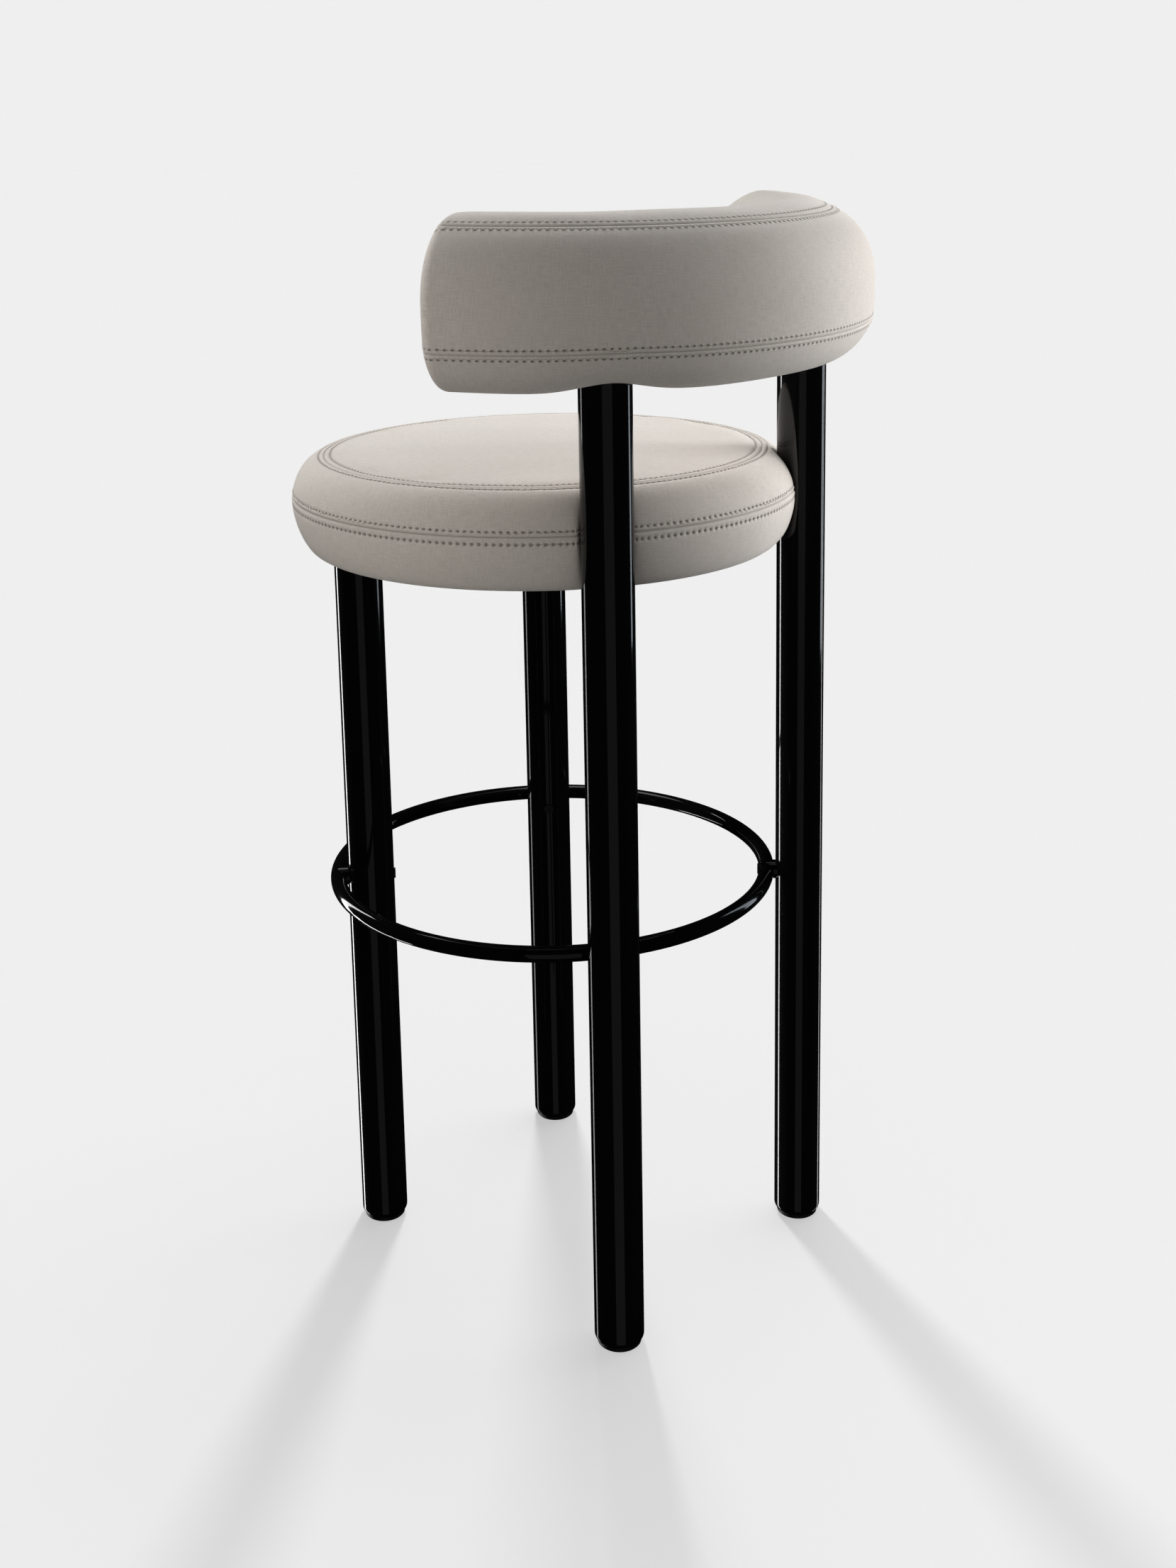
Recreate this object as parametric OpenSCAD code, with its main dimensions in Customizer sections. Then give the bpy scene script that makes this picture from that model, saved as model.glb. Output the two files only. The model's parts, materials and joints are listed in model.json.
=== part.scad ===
// Bar stool with a round seat, a C-shaped padded backrest, four upright tube
// legs and a ring footrest. The floor is z = 0 and the Z axis runs through the
// middle of the stool's outline; the middle of the seat is a little in front of
// it. The sitter faces -Y, so left is +X and right is -X.

/* [Seat] */
// Height of the middle of the seat above the floor
seat_top = 743; // [735:1:760]
// Diameter of the seat pad at its widest
seat_d = 447; // [444:1:456]
// Thickness of the seat pad at its edge
seat_h = 82; // [80:1:86]
// Rise of the seat's top between the upper seam and the middle
seat_crown = 5; // [2:1:10]
// Diameter of the upper seam
upper_seam_d = 388; // [380:1:394]
// Thickness of the covers
cover_t = 1.8; // [1.4:0.1:2.2]

/* [Backrest] */
// Radius of the backrest's middle line
back_r = 217.5; // [214:0.5:220]
// Thickness of the backrest pad, front to back
back_t = 144.6; // [138:0.2:148]
// Height of the backrest pad
back_h = 135.6; // [130:0.2:145]
// Height of the backrest's middle above the floor
back_z = 884; // [880:1:900]
// Rise of the backrest's middle line towards its tips, at 60 degrees
back_rise = 3; // [0:0.5:6]
// Half the angle that the backrest wraps round, without its rounded tips
back_half_angle = 64; // [56:1:66]
// Length of each rounded tip
tip_l = 14; // [10:1:24]
// Rise of the underside where a rear leg goes in
dimple_h = 8; // [0:1:12]

/* [Legs] */
// Outside diameter of the leg tubes
leg_d = 42.4; // [40:0.1:44]
// Wall of the leg tubes
leg_wall = 2; // [1.5:0.1:2.5]
// Radius of the rounded lower end of a leg
leg_round = 6; // [5:0.5:7]
// Distance from the middle of the stool to each front leg
front_leg_r = 168; // [164:0.5:168]
// Angle of each front leg from straight ahead
front_leg_angle = 47; // [44:0.5:50]
// Distance from the middle of the stool to each rear leg
rear_leg_r = 227.5; // [227.5:0.5:230]
// Angle of each rear leg from straight back
rear_leg_angle = 35.5; // [35:0.5:40]

/* [Footrest] */
// Radius of the footrest ring's middle line
ring_r = 198; // [198:0.5:199]
// Diameter of the footrest rod
ring_d = 14; // [13:0.5:14]
// Height of the footrest ring's middle
ring_z = 344; // [300:1:400]
// Diameter of the spacers between the ring and the legs
spacer_d = 17; // [16:0.5:18]

/* [Hidden] */
$fn = 64;
leg_or = leg_d / 2;
leg_ir = leg_or - leg_wall;
glide_h = 3;                       // a leg starts this far above the floor
glide_r = 18.6;
plug_r = 14.4;                     // the glide's plug inside the leg's end
seat_r = seat_d / 2;
seam_r = upper_seam_d / 2;
seam_z = seat_top - seat_crown;
seat_low = seam_z - seat_h;        // underside of the pad
wide_z = seat_low + 42;            // level of the widest line
low_seam_z = wide_z + 6;           // level of the lower seam
seat_y = -33;                      // the middle of the seat, from the Z axis
board_r = 191.2;
under_r = 180;                     // edge of the lower panel under the seat
board_t = 18;
plate_t = 4;
board_low = seat_low + 6;          // underside of the seat board
plate_low = board_low - plate_t;
notch_r = leg_or + 1.6;            // hollow in the pad's edge for a rear leg
tab_r = 200;                       // outer face of a rear bracket's tab
bolt_z = board_low + 14;
leg_top = back_z - 30;             // rear legs end inside the backrest
bar_d = 25;                        // steel bar inside the backrest
screw_d = 6;
clear = 0.2;                       // gap round hidden hardware
foam_gap = 0.3;

// Shape of the backrest's section, one exponent for each quarter
n_top_out = 2.1;
n_top_in = 1.5;
n_low_out = 3.2;
n_low_in = 2.2;
upper_back_seam = 62;              // angle round the section, 0 faces outwards
lower_back_seam = -18;

black = [0.03, 0.03, 0.035];
dark_plastic = [0.07, 0.07, 0.07];
zinc = [0.62, 0.63, 0.65];
fabric = [0.74, 0.72, 0.69];
fabric_dark = [0.18, 0.18, 0.18];
foam_col = [0.86, 0.82, 0.66];
ply = [0.72, 0.57, 0.38];

// ---- placing ----

// side is 1 for the left and -1 for the right
function front_az(side) = -90 + side * front_leg_angle;
function rear_az(side) = 90 - side * rear_leg_angle;

// Every piece is drawn round the middle of the seat and then put in its place
module placed() translate([0, seat_y, 0]) children();

module at_front(side) rotate([0, 0, front_az(side)]) children();
module at_rear(side) rotate([0, 0, rear_az(side)]) children();

// A cylinder that runs outwards from radius r1 to r2 at height z
module spoke(r1, r2, d, z) {
    translate([r1, 0, z]) rotate([0, 90, 0]) cylinder(d = d, h = r2 - r1);
}

// ---- legs ----

// Tube with a wall turned in round its lower end
module leg_tube(top) {
    rotate_extrude() {
        translate([leg_ir, glide_h + leg_round]) square([leg_wall, top - glide_h - leg_round]);
        difference() {
            intersection() {
                translate([leg_or - leg_round, glide_h + leg_round]) circle(leg_round);
                translate([leg_or - leg_round, glide_h]) square(leg_round);
            }
            translate([leg_or - leg_round, glide_h + leg_round]) circle(leg_round - leg_wall);
        }
        translate([plug_r + 0.1, glide_h]) square([leg_or - leg_round - plug_r - 0.1, leg_wall]);
    }
}

module front_leg(side) {
    color(black) placed() difference() {
        at_front(side) translate([front_leg_r, 0, 0]) leg_tube(plate_low);
        at_front(side) spoke(front_leg_r - 30, front_leg_r + 30, screw_d + 2 * clear, ring_z);
    }
}

module rear_leg(side) {
    color(black) placed() difference() {
        at_rear(side) translate([rear_leg_r, 0, 0]) leg_tube(leg_top);
        at_rear(side) spoke(rear_leg_r - 30, rear_leg_r, 9, ring_z);
        at_rear(side) spoke(rear_leg_r - 30, rear_leg_r, 11, bolt_z);
        at_rear(side) spoke(rear_leg_r - 30, rear_leg_r, 6, leg_top - 12);
    }
}

// Plastic foot with a plug that fills the opening of the leg
module glide() {
    rotate_extrude() polygon([[0, 0], [glide_r - 1, 0], [glide_r, 1], [glide_r, 3.9],
        [17.4, 3.3], [16.2, 3.02], [15.2, glide_h], [plug_r, glide_h],
        [plug_r, 13], [plug_r - 0.8, 14], [plug_r - 2.5, 14], [plug_r - 2.5, 4], [0, 4]]);
}

module front_glide(side) color(dark_plastic) placed() at_front(side) translate([front_leg_r, 0, 0]) glide();
module rear_glide(side) color(dark_plastic) placed() at_rear(side) translate([rear_leg_r, 0, 0]) glide();

// ---- footrest ----

module ring_rod(d) {
    translate([0, 0, ring_z]) rotate_extrude($fn = 96) translate([ring_r, 0]) circle(d = d);
}

module footrest_ring() {
    color(black) placed() difference() {
        ring_rod(ring_d);
        for (s = [-1, 1]) {
            at_front(s) spoke(ring_r - ring_d, ring_r + 2, screw_d, ring_z);
            at_rear(s) spoke(ring_r - ring_d, ring_r + ring_d, screw_d + 2 * clear, ring_z);
        }
    }
}

// Groove across a spacer's end, where the rod lies
module seat_for_ring(r) translate([r, 0, ring_z]) rotate([90, 0, 0])
    cylinder(d = ring_d, h = 2 * spacer_d, center = true);

// Round spacer, hollowed at one end for the leg and at the other for the ring
module spacer_front(side) {
    color(black) placed() difference() {
        at_front(side) spoke(front_leg_r + 15, ring_r, spacer_d, ring_z);
        at_front(side) translate([front_leg_r, 0, ring_z - 20]) cylinder(r = leg_or, h = 40);
        at_front(side) seat_for_ring(ring_r - 0.2);
        at_front(side) spoke(front_leg_r, ring_r + 2, screw_d + 2 * clear, ring_z);
    }
}

module spacer_rear(side) {
    color(black) placed() difference() {
        at_rear(side) spoke(ring_r, rear_leg_r - 15, spacer_d, ring_z);
        at_rear(side) translate([rear_leg_r, 0, ring_z - 20]) cylinder(r = leg_or, h = 40);
        at_rear(side) seat_for_ring(ring_r);
        at_rear(side) spoke(ring_r - 2, rear_leg_r, screw_d + 2 * clear, ring_z);
    }
}

// Screws from inside each front leg, through the leg and its spacer into the ring
module front_ring_screws() {
    color(black) placed() for (s = [-1, 1]) at_front(s) {
        difference() {
            spoke(front_leg_r - leg_or - 1.3, front_leg_r - leg_or + 2, 9.5, ring_z);
            translate([front_leg_r, 0, ring_z - 10]) cylinder(r = leg_or, h = 20);
            spoke(front_leg_r - leg_or - 2, front_leg_r - leg_or - 0.5, 3.4, ring_z);
        }
        spoke(front_leg_r - leg_or - 0.4, ring_r + 1.5, screw_d - 0.05, ring_z);
    }
}

// Screws from inside the ring, through the ring and its spacer into each rear leg
module rear_ring_screws() {
    color(black) placed() for (s = [-1, 1]) {
        difference() {
            at_rear(s) spoke(ring_r - ring_d / 2 - 1.3, ring_r - ring_d / 2 + 3, 9.5, ring_z);
            ring_rod(ring_d);
            at_rear(s) spoke(ring_r - ring_d / 2 - 2, ring_r - ring_d / 2 - 0.5, 3.4, ring_z);
        }
        at_rear(s) spoke(ring_r - ring_d / 2 - 0.4, rear_leg_r - 8, screw_d - 0.05, ring_z);
    }
}

// Threaded sleeve clenched in a leg's wall
module rivet_nut(d, bore, z) {
    difference() {
        union() {
            difference() {
                spoke(rear_leg_r - leg_or - 1, rear_leg_r - 6, d - 0.05, z);
                difference() {
                    translate([rear_leg_r, 0, z - 15]) cylinder(r = leg_or + 9, h = 30);
                    translate([rear_leg_r, 0, z - 16]) cylinder(r = leg_or, h = 32);
                }
            }
            spoke(rear_leg_r - leg_ir + 1.6, rear_leg_r - leg_ir + 5, d + 3, z);
        }
        spoke(rear_leg_r - leg_or - 5, rear_leg_r, bore, z);
    }
}

module ring_rivet_nuts() color(zinc) placed() for (s = [-1, 1]) at_rear(s) rivet_nut(9, screw_d, ring_z);
module seat_rivet_nuts() color(zinc) placed() for (s = [-1, 1]) at_rear(s) rivet_nut(11, 8, bolt_z);

// ---- seat fixings ----

plate_r = 36;
plate_angles = [90, 180, 270];     // screws round a front leg, from straight outwards
plate_hole_r = 28;
bracket_holes = [124, 168];        // distances from the middle of the stool

module plate_holes(d, h, z) {
    for (a = plate_angles) translate([front_leg_r, 0, z]) rotate([0, 0, a])
        translate([plate_hole_r, 0, 0]) cylinder(d = d, h = h);
}

module front_plate(side) {
    color(black) placed() difference() {
        at_front(side) translate([front_leg_r - 13, 0, plate_low]) cylinder(r = plate_r, h = plate_t);
        at_front(side) plate_holes(screw_d + 2 * clear, plate_t + 2, plate_low - 1);
    }
}

module low_head_screw(head_d, head_h, d, l) {
    translate([0, 0, -head_h]) cylinder(d = head_d, h = head_h);
    cylinder(d = d, h = l);
}

module front_plate_screws() {
    color(zinc) placed() for (s = [-1, 1]) at_front(s) for (a = plate_angles)
        translate([front_leg_r, 0, plate_low]) rotate([0, 0, a])
            translate([plate_hole_r, 0, 0]) low_head_screw(11, 0.9, screw_d - 0.05, 16);
}

// Flat bar under the board with a tab turned up at its outer end
module rear_bracket(side) {
    color(black) placed() difference() {
        at_rear(side) union() {
            translate([110, -16, plate_low]) cube([tab_r - 110, 32, plate_t]);
            translate([tab_r - plate_t, -16, plate_low]) cube([plate_t, 32, 30]);
        }
        at_rear(side) for (x = bracket_holes) translate([x, 0, plate_low - 1])
            cylinder(d = screw_d + 2 * clear, h = plate_t + 2);
        at_rear(side) spoke(tab_r - 10, tab_r + 2, 8.4, bolt_z);
    }
}

module rear_bracket_screws() {
    color(zinc) placed() for (s = [-1, 1]) at_rear(s) for (x = bracket_holes)
        translate([x, 0, plate_low]) low_head_screw(11, 0.9, screw_d - 0.05, 16);
}

module seat_spacer(side) {
    color(black) placed() difference() {
        at_rear(side) spoke(tab_r, rear_leg_r - 15, 20, bolt_z);
        at_rear(side) translate([rear_leg_r, 0, bolt_z - 20]) cylinder(r = leg_or, h = 40);
        at_rear(side) spoke(tab_r - 2, rear_leg_r, 8.4, bolt_z);
    }
}

module seat_bolts() {
    color(zinc) placed() for (s = [-1, 1]) at_rear(s) {
        difference() {
            spoke(tab_r - plate_t - 4.5, tab_r - plate_t, 14, bolt_z);
            translate([tab_r - plate_t - 5, 0, bolt_z]) rotate([0, 90, 0]) cylinder(d = 5.8, h = 3, $fn = 6);
        }
        spoke(tab_r - plate_t - 0.5, rear_leg_r - 8, 7.95, bolt_z);
    }
}

// Threaded inserts pressed into the board above every plate screw
module board_inserts() {
    color(zinc) placed() {
        for (s = [-1, 1]) at_front(s) for (a = plate_angles) translate([front_leg_r, 0, board_low])
            rotate([0, 0, a]) translate([plate_hole_r, 0, 0]) insert();
        for (s = [-1, 1]) at_rear(s) for (x = bracket_holes) translate([x, 0, board_low]) insert();
    }
}

module insert() {
    difference() {
        cylinder(d = 9, h = 14);
        translate([0, 0, -1]) cylinder(d = screw_d, h = 16);
    }
}

module insert_holes() {
    for (s = [-1, 1]) at_front(s) plate_holes(9, 14, board_low);
    for (s = [-1, 1]) at_rear(s) for (x = bracket_holes) translate([x, 0, board_low]) cylinder(d = 9, h = 14);
}

module seat_board() {
    color(ply) placed() difference() {
        translate([0, 0, board_low]) cylinder(r = board_r, h = board_t, $fn = 96);
        insert_holes();
    }
}

// ---- seat pad ----

// Half of the pad's outline, drawn inwards by g, from radius a up and round to radius b.
// The upper part rises from the widest line to the seam and then crowns to the middle.
function edge_top(g) = [for (i = [0:10]) let (t = i * 9)
    [seat_r - 29.5 + (29.5 - g) * pow(cos(t), 2 / 1.95), wide_z + (seam_z - wide_z - g) * pow(sin(t), 2 / 1.95)]];
function edge_low(g) = [for (i = [0:8]) let (t = i * 90 / 8)
    [seat_r - 20 + (20 - g) * pow(sin(t), 2 / 1.7), wide_z - (wide_z - seat_low - g) * pow(cos(t), 2 / 1.7)]];
function crown(g) = [for (i = [1:6]) let (x = seam_r * (1 - i / 6))
    [x, seam_z - g + seat_crown * (1 - pow(x / seam_r, 2))]];

module pad_outline(g) {
    polygon(concat([[0, seat_low + g]], edge_low(g), [for (p = edge_top(g)) if (p[1] > wide_z + 0.1) p], crown(g)));
}

module pad_shell_outline() difference() {
    pad_outline(0);
    pad_outline(cover_t);
    translate([-1, seat_low - 1]) square([under_r + 1, 10]);
}

module pad(g) rotate_extrude($fn = 96) pad_outline(g);

module leg_notches(r) for (s = [-1, 1]) at_rear(s)
    translate([rear_leg_r, 0, seat_low - 10]) cylinder(r = r, h = seat_h + 40);

// Part of the cover between heights z1 and z2 and radii r1 and r2, with the
// pocket that lines each notch
module cover_part(z1, z2, r1, r2) {
    difference() {
        rotate_extrude($fn = 96) intersection() {
            pad_shell_outline();
            translate([r1, z1]) square([r2 - r1, z2 - z1]);
        }
        leg_notches(notch_r);
        fixing_gaps();
    }
}

module notch_lining(z1, z2) difference() {
    intersection() {
        rotate_extrude($fn = 96) intersection() {
            pad_outline(cover_t - 0.2);
            translate([0, z1]) square([seat_r + 5, z2 - z1]);
        }
        leg_notches(notch_r + cover_t);
    }
    leg_notches(notch_r);
    fixing_gaps();
}

// Room round the brackets, spacers and legs where they meet the pad
module fixing_gaps() {
    for (s = [-1, 1]) at_rear(s) {
        spoke(board_r - 12, rear_leg_r, 20 + 2 * clear, bolt_z);
        translate([100, -16 - clear, plate_low - clear]) cube([tab_r - 100 + clear, 32 + 2 * clear, 30 + 2 * clear]);
    }
}

module seat_top_panel() color(fabric) placed() cover_part(seam_z - 6, seat_top + 2, -1, seam_r - 0.15);

module seat_side_band() color(fabric) placed() {
    cover_part(low_seam_z + 0.15, seam_z + 2, seam_r + 0.15, seat_r + 1);
    notch_lining(low_seam_z + 0.15, seam_z - 2);
}

module seat_lower_panel() color(fabric) placed() {
    difference() {
        cover_part(seat_low - 1, low_seam_z - 0.15, under_r - 1, seat_r + 1);
        front_leg_holes();
    }
    notch_lining(seat_low + 3, low_seam_z - 0.15);
}

module front_leg_holes() for (s = [-1, 1]) at_front(s)
    translate([front_leg_r, 0, seat_low - 1]) cylinder(r = leg_or + 0.5, h = 5);

// Black lining stapled under the seat
module seat_base_cloth() {
    color(fabric_dark) placed() difference() {
        translate([0, 0, seat_low + 0.3]) cylinder(r = under_r - 0.5, h = 0.7, $fn = 96);
        front_leg_holes();
    }
}

module seat_foam() {
    color(foam_col) placed() difference() {
        pad(cover_t + foam_gap);
        translate([0, 0, seat_low - 1]) cylinder(r = board_r + foam_gap, h = board_low - seat_low + board_t + 1, $fn = 96);
        leg_notches(notch_r + cover_t + foam_gap);
        fixing_gaps();
    }
}

// ---- backrest ----

function spow(v, e) = sign(v) * pow(abs(v), e);
function sec_n(t) = t >= 0 ? (t <= 90 ? n_top_out : n_top_in) : (t >= -90 ? n_low_out : n_low_in);

// How far the underside rises at azimuth a
function dimple(a) = dimple_h * (exp(-pow((a - rear_leg_angle) / 8, 2)) + exp(-pow((a + rear_leg_angle) / 8, 2)));

// Point of the pad's skin at azimuth a from straight back and section angle t;
// the section is drawn in by g and then scaled by k
function back_pt(a, t, k, g) = let (
        n = sec_n(t),
        r = back_r + (back_t / 2 - g) * k * spow(cos(t), 2 / n),
        low = t < 0 ? dimple(a) * pow(sin(t), 2) : 0,
        z = back_z + back_rise * pow(a / 60, 2) + (back_h / 2 - g) * k * spow(sin(t), 2 / n) + low * k)
    [r * sin(a), r * cos(a), z];

arc_steps = 30;
tip_steps = 8;

// Stations from tip to tip as [azimuth, scale]; the section closes in over each tip
function tip_q(i) = 1 - pow(1 - i / tip_steps, 2);
function tip_station(i, g) = [back_half_angle + tip_q(i) * (tip_l - g) / back_r * 180 / PI,
    max(0.03, pow(1 - pow(tip_q(i), 2.5), 1 / 2.5))];
function stations(g) = concat(
    [for (i = [tip_steps:-1:1]) let (p = tip_station(i, g)) [-p[0], p[1]]],
    [for (i = [0:arc_steps]) [back_half_angle * (2 * i / arc_steps - 1), 1]],
    [for (i = [1:tip_steps]) tip_station(i, g)]);

// Skin swept through a list of rings. A strip is a ring of m / 2 outer points and
// as many inner ones, so its two ends are closed with a row of quads.
module swept(rings, strip = false) {
    m = len(rings[0]);
    last = (len(rings) - 1) * m;
    sides = [for (i = [0:len(rings) - 2], j = [0:m - 1]) let (a = i * m + j, b = i * m + (j + 1) % m)
        each [[a, b, b + m], [a, b + m, a + m]]];
    ends = strip
        ? [for (j = [0:m / 2 - 2]) let (k = m - 1 - j)
            each [[j, k - 1, j + 1], [j, k, k - 1], [last + j, last + j + 1, last + k - 1], [last + j, last + k - 1, last + k]]]
        : [for (j = [1:m - 2]) each [[0, j + 1, j], [last, last + j, last + j + 1]]];
    polyhedron([for (s = rings) each s], concat(sides, ends));
}

module back_solid(g) swept([for (s = stations(g)) [for (j = [0:27]) back_pt(s[0], 180 - j * 360 / 28, s[1], g)]]);

function wrap(t) = t > 180 ? t - 360 : t;

// Strip of cover between section angles t1 and t2
module cover_strip(t1, t2, n) {
    out = stations(0);
    inn = stations(cover_t);
    swept([for (i = [0:len(out) - 1]) concat(
        [for (j = [0:n]) back_pt(out[i][0], wrap(t2 + (t1 - t2) * j / n), out[i][1], 0)],
        [for (j = [n:-1:0]) back_pt(inn[i][0], wrap(t2 + (t1 - t2) * j / n), inn[i][1], cover_t)])], strip = true);
}

module leg_pockets(r, top) for (s = [-1, 1]) at_rear(s)
    translate([rear_leg_r, 0, back_z - back_h]) cylinder(r = r, h = top - back_z + back_h);

// Steel bar bent to the backrest's curve with a plug for each rear leg
module backrest_frame() {
    color(black) placed() {
        translate([0, 0, back_z]) rotate([0, 0, 90 - 48]) rotate_extrude(angle = 96, $fn = 96)
            translate([rear_leg_r, 0]) circle(d = bar_d);
        for (s = [-1, 1]) at_rear(s) difference() {
            translate([rear_leg_r, 0, 0]) {
                translate([0, 0, leg_top - 55]) cylinder(r = leg_ir - 0.1, h = 55);
                translate([0, 0, leg_top]) cylinder(d = 30, h = back_z - leg_top);
            }
            spoke(rear_leg_r - 30, rear_leg_r, 6, leg_top - 12);
        }
    }
}

module backrest_grub_screws() {
    color(zinc) placed() for (s = [-1, 1]) at_rear(s) difference() {
        spoke(rear_leg_r - leg_or + 0.3, rear_leg_r - 9, 5.95, leg_top - 12);
        translate([rear_leg_r - leg_or, 0, leg_top - 12]) rotate([0, 90, 0]) cylinder(d = 3.4, h = 4, $fn = 6);
    }
}

module backrest_foam() {
    color(foam_col) placed() difference() {
        back_solid(cover_t + foam_gap);
        leg_pockets(leg_or + foam_gap, leg_top + foam_gap);
        leg_pockets(15 + foam_gap, back_z + foam_gap);
        translate([0, 0, back_z]) rotate([0, 0, 90 - 48.2]) rotate_extrude(angle = 96.4, $fn = 96)
            translate([rear_leg_r, 0]) circle(d = bar_d + 2 * foam_gap);
    }
}

module backrest_outer_band() color(fabric) placed() cover_strip(lower_back_seam + 0.2, upper_back_seam - 0.2, 9);

module backrest_inner_wrap() {
    color(fabric) placed() difference() {
        cover_strip(upper_back_seam + 0.2, lower_back_seam + 360 - 0.2, 20);
        leg_pockets(leg_or + foam_gap, leg_top);
    }
}

// ---- one module for each piece on the two sides ----

module front_leg_left() color(black) front_leg(1);
module front_leg_right() color(black) front_leg(-1);
module rear_leg_left() color(black) rear_leg(1);
module rear_leg_right() color(black) rear_leg(-1);
module glide_front_left() color(dark_plastic) front_glide(1);
module glide_front_right() color(dark_plastic) front_glide(-1);
module glide_rear_left() color(dark_plastic) rear_glide(1);
module glide_rear_right() color(dark_plastic) rear_glide(-1);
module spacer_front_left() color(black) spacer_front(1);
module spacer_front_right() color(black) spacer_front(-1);
module spacer_rear_left() color(black) spacer_rear(1);
module spacer_rear_right() color(black) spacer_rear(-1);
module front_plate_left() color(black) front_plate(1);
module front_plate_right() color(black) front_plate(-1);
module rear_bracket_left() color(black) rear_bracket(1);
module rear_bracket_right() color(black) rear_bracket(-1);
module seat_spacer_left() color(black) seat_spacer(1);
module seat_spacer_right() color(black) seat_spacer(-1);

front_leg_left();
front_leg_right();
rear_leg_left();
rear_leg_right();
glide_front_left();
glide_front_right();
glide_rear_left();
glide_rear_right();
footrest_ring();
spacer_front_left();
spacer_front_right();
spacer_rear_left();
spacer_rear_right();
front_ring_screws();
rear_ring_screws();
ring_rivet_nuts();
front_plate_left();
front_plate_right();
front_plate_screws();
rear_bracket_left();
rear_bracket_right();
rear_bracket_screws();
seat_spacer_left();
seat_spacer_right();
seat_bolts();
seat_rivet_nuts();
board_inserts();
seat_board();
seat_foam();
seat_top_panel();
seat_side_band();
seat_lower_panel();
seat_base_cloth();
backrest_frame();
backrest_grub_screws();
backrest_foam();
backrest_outer_band();
backrest_inner_wrap();
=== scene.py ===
import json
import math

import bmesh
import bpy
import numpy as np
from mathutils import Matrix, Vector
from mathutils.bvhtree import BVHTree
from mathutils.kdtree import KDTree


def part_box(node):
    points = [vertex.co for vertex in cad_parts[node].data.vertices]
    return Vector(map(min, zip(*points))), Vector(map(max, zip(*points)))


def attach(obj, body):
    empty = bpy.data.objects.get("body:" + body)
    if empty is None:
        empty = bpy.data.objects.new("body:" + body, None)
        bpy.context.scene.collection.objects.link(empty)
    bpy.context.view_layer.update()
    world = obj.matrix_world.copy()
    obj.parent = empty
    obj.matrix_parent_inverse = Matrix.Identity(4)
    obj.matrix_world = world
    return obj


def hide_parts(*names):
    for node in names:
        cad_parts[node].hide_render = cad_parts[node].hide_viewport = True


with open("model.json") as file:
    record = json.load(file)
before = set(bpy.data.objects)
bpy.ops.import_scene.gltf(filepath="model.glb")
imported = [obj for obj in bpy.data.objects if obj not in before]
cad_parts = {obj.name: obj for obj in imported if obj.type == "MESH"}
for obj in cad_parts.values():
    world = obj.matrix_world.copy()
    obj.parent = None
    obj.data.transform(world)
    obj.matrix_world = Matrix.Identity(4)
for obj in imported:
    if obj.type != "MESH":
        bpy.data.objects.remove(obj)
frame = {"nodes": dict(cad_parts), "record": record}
sc = bpy.context.scene
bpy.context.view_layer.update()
NODES = frame["nodes"]
MM = 0.001

# Middle of the seat, from the footrest ring
lo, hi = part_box("footrest_ring")
SEAT_Y = (lo.y + hi.y) / 2

# ---- camera ----

DIST = 1.700                           # from the middle of the seat
HEIGHT = 1.0263                        # above the floor
TURN = math.radians(132.17)            # round the object, from straight in front of it
YAW = math.radians(-0.238)             # aside from the middle of the seat
PITCH = math.radians(11.958)           # downwards
ROLL = math.radians(-1.214)
LENS = 44.5
SENSOR = 36.0
SHIFT_X = 0.0225
SHIFT_Y = -0.165
SIGHT = 400                            # how far the camera sees

cam = bpy.data.objects.new("camera", bpy.data.cameras.new("camera"))
sc.collection.objects.link(cam)
spot = Matrix.Rotation(TURN, 3, "Z") @ Vector((0, -DIST, HEIGHT)) + Vector((0, SEAT_Y, 0))
cam.matrix_world = (Matrix.Translation(spot) @ Matrix.Rotation(TURN + YAW, 4, "Z")
                    @ Matrix.Rotation(math.pi / 2 - PITCH, 4, "X") @ Matrix.Rotation(ROLL, 4, "Z"))
cam.data.sensor_width = SENSOR
cam.data.lens = LENS
cam.data.shift_x = SHIFT_X
cam.data.shift_y = SHIFT_Y
cam.data.clip_end = SIGHT
sc.camera = cam
sc.view_settings.view_transform = "Standard"


def about(angle, out, z):
    """A place out from the middle of the seat and z up, at an angle in degrees from the camera's side.
    The angle is positive towards the left of the picture."""
    v = Matrix.Rotation(TURN - math.radians(angle), 3, "Z") @ Vector((0, -out, 0))
    return Vector((v.x, v.y + SEAT_Y, z))


# ---- node helpers ----

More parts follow.
